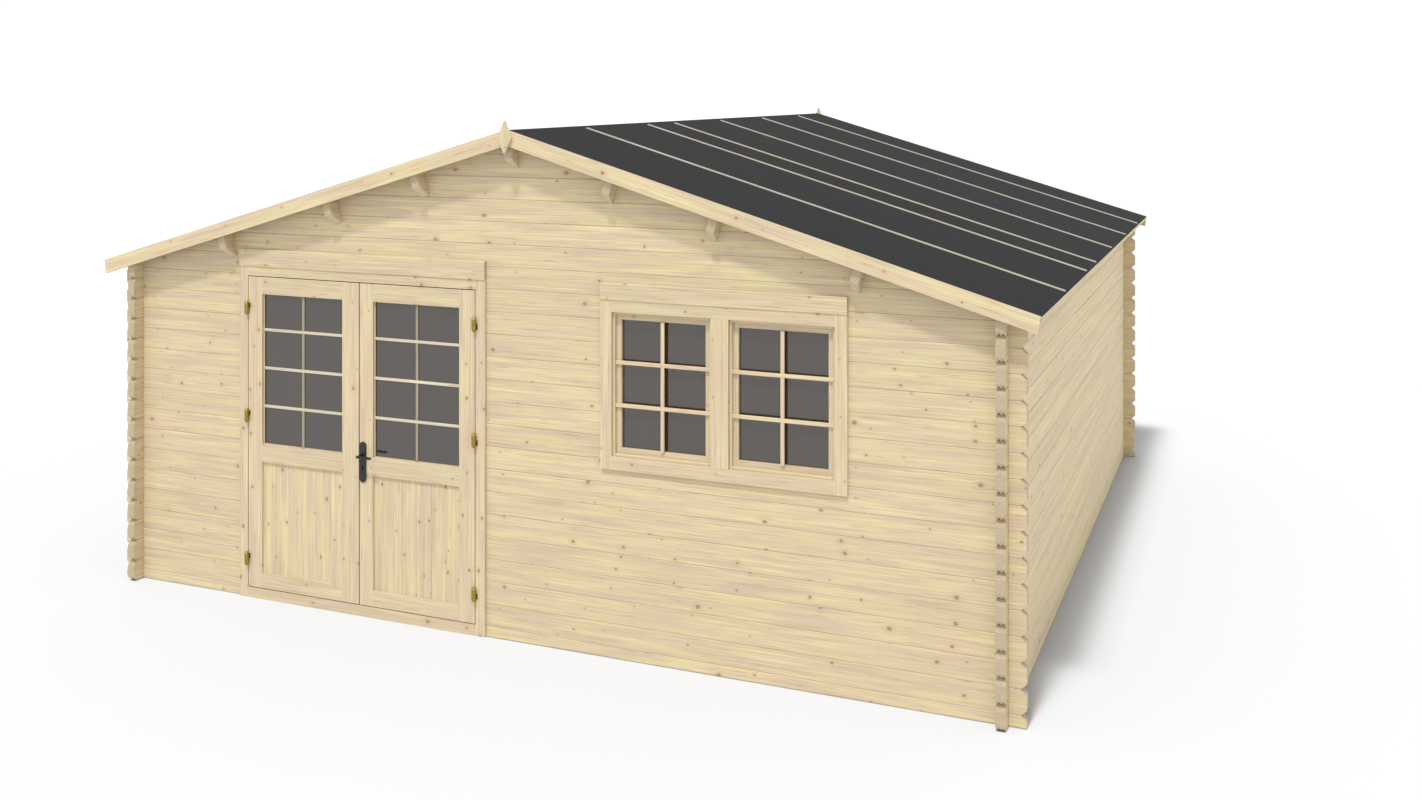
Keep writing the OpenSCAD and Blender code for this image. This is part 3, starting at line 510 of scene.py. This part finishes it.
finishes = [
    (wood["frontLogs"], ["front_wall_left", "front_wall_low", "front_wall_middle", "front_wall_right",
                         "front_wall_top", "front_gable"]),
    (wood["backLogs"], ["back_wall", "back_gable"]),
    (wood["rightLogs"], ["right_wall"]),
    (wood["leftLogs"], ["left_wall"]),
    (wood["uprights"], ["door_posts", "door_stops", "window_posts", "sash_stiles", "left_leaf_stiles",
                        "right_leaf_stiles", "finials"]),
    (wood["rails"], ["door_head", "door_sill", "window_rails", "sash_rails", "left_leaf_rails",
                     "right_leaf_rails"]),
    (wood["purlins"], ["ridge_purlin", "side_purlins"]),
    (wood["trims"], ["eave_trims"]),
    (wood["barge"], ["front_bargeboards", "back_bargeboards"]),
    (wood["battens"], ["felt_battens"]),
    (bitumenFelt(), ["left_felt", "right_felt"]),
    (floatGlass(), ["left_leaf_glass", "right_leaf_glass", "window_glass"]),
    (metals["rolled_brass"], ["hinge_pins", "left_leaf_hinges", "right_leaf_hinges"]),
    (metals["black_powder_coat"], ["handle_plates"]),
    (metals["black_lacquer"], ["lever_handle"]),
]
for material, nodes in finishes:
    for node in nodes:
        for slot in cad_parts[node].material_slots:
            slot.material = material
print("finishes set on", sum(len(nodes) for material, nodes in finishes), "nodes")


# header boards over door and window, with eased front edges that catch the light
headerBoards = {"top": 5.0, "foot": 2.0}  # radii of the edges


# the rebated outline of the node, with each front edge as a quarter turn about its own centre, carried
# along x
def makeHeader(node):
    low, high = boxOf(node)
    y, z = (np.unique(np.round(pointsOf(node)[:, axis], 1)) for axis in (1, 2))
    turn = np.linspace(0, 0.5 * np.pi, 4)
    rise, run = 1 - np.cos(turn), 1 - np.sin(turn)
    foot = [low[2], low[1]] + headerBoards["foot"] * np.stack([rise, run], axis=1)
    top = [high[2], low[1]] + headerBoards["top"] * np.stack([-run, rise], axis=1)
    back = np.array([[high[2], high[1]], [z[1], high[1]], [z[1], y[1]], [low[2], y[1]]])
    outline = np.concatenate([foot, top, back])
    shape = straightLengths(outline, rowsOf(low[0], 0, 0), rowsOf(high[0], 0, 0), zAxis, yAxis)
    addPiece(node + "_eased", shape, wood["rails"], "cabin", [node])


# boarded panel of a leaf: upright boards side by side, with eased edges that meet in grooves
def makePanel(side):
    node, rows = side + "_leaf_panel", panelRows[side]
    low, high = boxOf(node)
    x = rows["boardStart"] + rows["boardWide"] * (np.arange(panelBoards["count"]) + 0.5)
    y = (low[1] + high[1]) / 2
    outline = easedOutline(rows["boardWide"], high[1] - low[1], panelBoards["ease"], 2)
    shape = straightLengths(outline, rowsOf(x, y, low[2]), rowsOf(x, y, high[2]), xAxis, yAxis)
    addPiece(side + "_panel_boards", shape, wood[side + "Panel"], side + "_door", [node])


# glazing bars of a leaf on both faces of its glass, and the mitred beads that hold the glass
leafBars = {"wide": 16, "deep": 6, "ease": 1.5, "rows": 4, "columns": 2, "lap": 1, "lift": 13,
            "bead": 5, "beadTip": 2, "groove": 8.5}


# bars divide the clear opening evenly, with its top counted higher by the lift; uprights are shallower by
# the lap, so that the crossings look half-lapped
def makeLeafBars(side):
    look = leafBars
    low, high = boxOf(side + "_leaf_glass")
    x0, z0 = low[[0, 2]] + look["groove"]
    x1, z1 = high[[0, 2]] - look["groove"]
    z = np.linspace(z0, z1 + look["lift"], look["rows"] + 1)[1:-1]
    x = np.linspace(x0, x1, look["columns"] + 1)[1:-1]
    level, upright, beads = [], [], []
    bead, tip = look["bead"], look["beadTip"]
    beadOutline = np.array([[0, 0], [bead, 0], [bead, tip], [tip, bead], [0, bead]], float)
    for face, out in ((low[1], -1), (high[1], 1)):
        deep = look["deep"]
        y = face + out * deep / 2
        outline = easedOutline(look["wide"], deep, look["ease"])
        level.append(straightLengths(outline, rowsOf(x0, y, z), rowsOf(x1, y, z), zAxis, yAxis))
        deep = look["deep"] - look["lap"]
        y = face + out * deep / 2
        outline = easedOutline(look["wide"], deep, look["ease"])
        upright.append(straightLengths(outline, rowsOf(x, y, z0), rowsOf(x, y, z1), xAxis, yAxis))
        beads.append(mitredFrame(beadOutline * [1, out], (x0, z0), (x1, z1), face))
    body = side + "_door"
    addPiece(side + "_leaf_level_bars", joined(level), wood["levelBars"], body)
    # the upright bars are a darker copy of the bar wood: painted shade
    addPiece(side + "_leaf_upright_bars", joined(upright), wood["shadedUprightBars"], body)
    addPiece(side + "_leaf_beads", joined(beads), wood["uprightBeads"], body)


# window: a lattice laid on both faces of each sash, and stop beads in front of it
windowBars = {"wide": 20, "deep": 12, "ease": 2.5, "rows": 3, "columns": 2, "lap": 1, "mullion": 94,
              "sash": 41, "stop": 13, "stopDeep": 20}


# bars divide each sash's clear opening evenly; level bars reach over the stiles to the stop beads, and the
# level stop beads lie between the upright ones
def makeWindowBars():
    look = windowBars
    low, high = boxOf("sash_stiles")
    wide = (high[0] - low[0] - look["mullion"]) / 2
    sash, stop = look["sash"], look["stop"]
    level, upright, levelStops, uprightStops = [], [], [], []
    for x0 in (low[0], high[0] - wide):
        x1 = x0 + wide
        z0, z1 = low[2] + sash, high[2] - sash
        z = np.linspace(z0, z1, look["rows"] + 1)[1:-1]
        x = np.linspace(x0 + sash, x1 - sash, look["columns"] + 1)[1:-1]
        for face, out in ((low[1], -1), (high[1], 1)):
            deep = look["deep"]
            y = face + out * deep / 2
            outline = easedOutline(look["wide"], deep, look["ease"])
            starts, ends = rowsOf(x0 + stop, y, z), rowsOf(x1 - stop, y, z)
            level.append(straightLengths(outline, starts, ends, zAxis, yAxis))
            deep = look["deep"] - look["lap"]
            y = face + out * deep / 2
            outline = easedOutline(look["wide"], deep, look["ease"])
            upright.append(straightLengths(outline, rowsOf(x, y, z0), rowsOf(x, y, z1), xAxis, yAxis))
        y = low[1] - look["stopDeep"] / 2
        outline = easedOutline(stop, look["stopDeep"], look["ease"])
        z = np.array([low[2] + stop / 2, high[2] - stop / 2])
        x = np.array([x0 + stop / 2, x1 - stop / 2])
        starts, ends = rowsOf(x0 + stop, y, z), rowsOf(x1 - stop, y, z)
        levelStops.append(straightLengths(outline, starts, ends, zAxis, yAxis))
        starts, ends = rowsOf(x, y, low[2]), rowsOf(x, y, high[2])
        uprightStops.append(straightLengths(outline, starts, ends, xAxis, yAxis))
    addPiece("window_level_bars", joined(level), wood["levelBeads"], "cabin")
    addPiece("window_upright_bars", joined(upright), wood["uprightBeads"], "cabin")
    addPiece("window_level_stops", joined(levelStops), wood["levelBeads"], "cabin")
    addPiece("window_upright_stops", joined(uprightStops), wood["uprightBeads"], "cabin")


# roof boards: each runs from the ridge to the eave and is eased underneath, so the joints show as grooves
def makeRoofBoards(side):
    look = roofBoards
    points = pointsOf(side + "_roof_boards")
    reach = np.abs(points[:, 0])
    ridge, eave = points[reach < reach.min() + 1], points[reach > reach.max() - 1]
    thick = np.ptp(ridge[:, 2])
    y = deckLow[1] + plankWide * (np.arange(look["count"]) + 0.5)
    half, ease = (plankWide - look["gap"]) / 2, look["ease"]
    outline = np.array([[-half, 0], [half, 0], [half, ease - thick], [half - ease, -thick],
                        [ease - half, -thick], [-half, ease - thick]])
    starts = rowsOf(ridge[0, 0], y, ridge[:, 2].max())
    ends = rowsOf(eave[0, 0], y, eave[:, 2].max())
    shape = straightLengths(outline, starts, ends, yAxis, zAxis)
    addPiece(side + "_roof_planks", shape, wood["deck"], "cabin", [side + "_roof_boards"])


# nails along the battens: the batten's top face is the highest plane at the roof's angle
battenNails = {"every": 380, "first": 90, "radius": 4.5, "height": 1.6}


# one row of heads for each batten, whose middle lies between each pair of its side faces
def makeBattenNails():
    look = battenNails
    points = pointsOf("felt_battens")
    edges = np.unique(np.round(points[:, 1], 1))
    middles = (edges[0::2] + edges[1::2]) / 2
    top = (points[:, 2] + np.abs(points[:, 0]) * math.tan(roofAngle)).max()
    along = np.arange(look["first"], np.abs(points[:, 0]).max(), look["every"])
    x, y = (grid.ravel() for grid in np.meshgrid(along, middles))
    z = top - x * math.tan(roofAngle)
    heads = [roundHeads(rowsOf(sign * x, y, z), look["radius"], look["height"], slopeDown * [sign, 1, 1],
                        np.array(yAxis) * sign) for sign in (1, -1)]
    addPiece("batten_nails", joined(heads), metals["zinc_plated_steel"], "cabin")


# lock case: steel that shows in the keyholes of both plates, near black as painted shade of the holes
lockCase = {"rise": 84, "round": 11.0, "slotWide": 5.0, "slotLong": 17.0, "slotEase": 0.5, "deep": 2.5}


# a round and a slot below it in the bottom of each keyhole; rise is the round's height above the plates'
# feet
def makeLockCase():
    look = lockCase
    low, high = boxOf("handle_plates")
    near, far = boxOf("right_leaf_stiles")
    x, z = (low[0] + high[0]) / 2, low[2] + look["rise"]
    disc = easedOutline(look["round"], look["round"], look["round"] / 2 - 0.1)  # almost all of it arcs
    slot = easedOutline(look["slotWide"], look["slotLong"], look["slotEase"]) - [0, look["slotLong"] / 2]
    shapes = []
    for y0, y1 in ((near[1] - look["deep"], near[1]), (far[1], far[1] + look["deep"])):
        for outline in (disc, slot):
            shapes.append(straightLengths(outline, rowsOf(x, y0, z), rowsOf(x, y1, z), xAxis, zAxis))
    addPiece("lock_case", joined(shapes), metals["oiled_steel_and_keyhole_shade"], "right_door")


for side in sides:
    makePanel(side)
    makeLeafBars(side)
    makeRoofBoards(side)
for node in ("door_header", "window_header"):
    makeHeader(node)
makeWindowBars()
makeBattenNails()
makeLockCase()
print("boards, bars, nails and lock made")

# studio: pale floor, white surroundings, a soft sun high in front, more of the same sun for the floor alone
# so that shadows on it are deep, and a low fill on the right
studio = {
    "floor": "#a1a2a4", "floorHalf": 60.0, "surround": 1.12,
    "sun": 2.2, "sunAngle": 4.5, "sunPlace": (0, -5, 10), "sunTravel": (0.02, 0.485, -1.0),
    "floorSun": 3.8, "floorSunAngle": 11.0,
    "fill": 32.0, "fillPlace": (8.5, 0.5, 1.2), "fillTravel": (-1, -0.1, 0.0), "fillSize": (7.0, 2.6),
}


# one square of floor, as far as floorHalf to each side
def makeFloor():
    material, tree = newMaterial("pale_floor")
    settings = {"Base Color": tint(studio["floor"]), "Roughness": 0.95, "Specular IOR Level": 0.0}
    closeMaterial(tree, settings, {})
    h = studio["floorHalf"]
    mesh = bpy.data.meshes.new("floor")
    mesh.from_pydata([(-h, -h, 0), (h, -h, 0), (h, h, 0), (-h, h, 0)], [], [(0, 1, 2, 3)])
    mesh.materials.append(material)
    floor = bpy.data.objects.new("floor", mesh)
    bpy.context.scene.collection.objects.link(floor)
    return floor


# a lamp whose light goes the way of travel
def addLight(name, kind, energy, place, travel, settings):
    light = bpy.data.lights.new(name, kind)
    light.energy = energy
    for key, value in settings.items():
        setattr(light, key, value)
    lamp = bpy.data.objects.new(name, light)
    lamp.location = place
    lamp.rotation_euler = Vector(travel).to_track_quat("-Z", "Y").to_euler()
    bpy.context.scene.collection.objects.link(lamp)
    return lamp


world = bpy.data.worlds.new("studio")
world.use_nodes = True
world.node_tree.nodes["Background"].inputs["Color"].default_value = (1, 1, 1, 1)
world.node_tree.nodes["Background"].inputs["Strength"].default_value = studio["surround"]
bpy.context.scene.world = world
addLight("sun", "SUN", studio["sun"], studio["sunPlace"], studio["sunTravel"],
         {"angle": math.radians(studio["sunAngle"])})
floorSun = addLight("floor_sun", "SUN", studio["floorSun"], studio["sunPlace"], studio["sunTravel"],
                    {"angle": math.radians(studio["floorSunAngle"])})
floorSun.light_linking.receiver_collection = bpy.data.collections.new("floor_alone")
floorSun.light_linking.receiver_collection.objects.link(makeFloor())
fillWide, fillHigh = studio["fillSize"]
addLight("fill", "AREA", studio["fill"], studio["fillPlace"], studio["fillTravel"],
         {"shape": "RECTANGLE", "size": fillWide, "size_y": fillHigh})

# camera: level, turned towards the left, with the vertical shift that the photograph's framing needs
view = {"place": (3.752, -8.996, 2.930), "turn": 22.25, "lens": 35.25, "sensor": 36.0, "shiftY": -0.2192}
camera = bpy.data.cameras.new("camera")
camera.lens, camera.sensor_width, camera.shift_y = view["lens"], view["sensor"], view["shiftY"]
tripod = bpy.data.objects.new("camera", camera)
tripod.location = view["place"]
tripod.rotation_euler = (math.radians(90), 0, math.radians(view["turn"]))
bpy.context.scene.collection.objects.link(tripod)
bpy.context.scene.camera = tripod
bpy.context.scene.view_settings.view_transform = "Standard"
print("studio set")
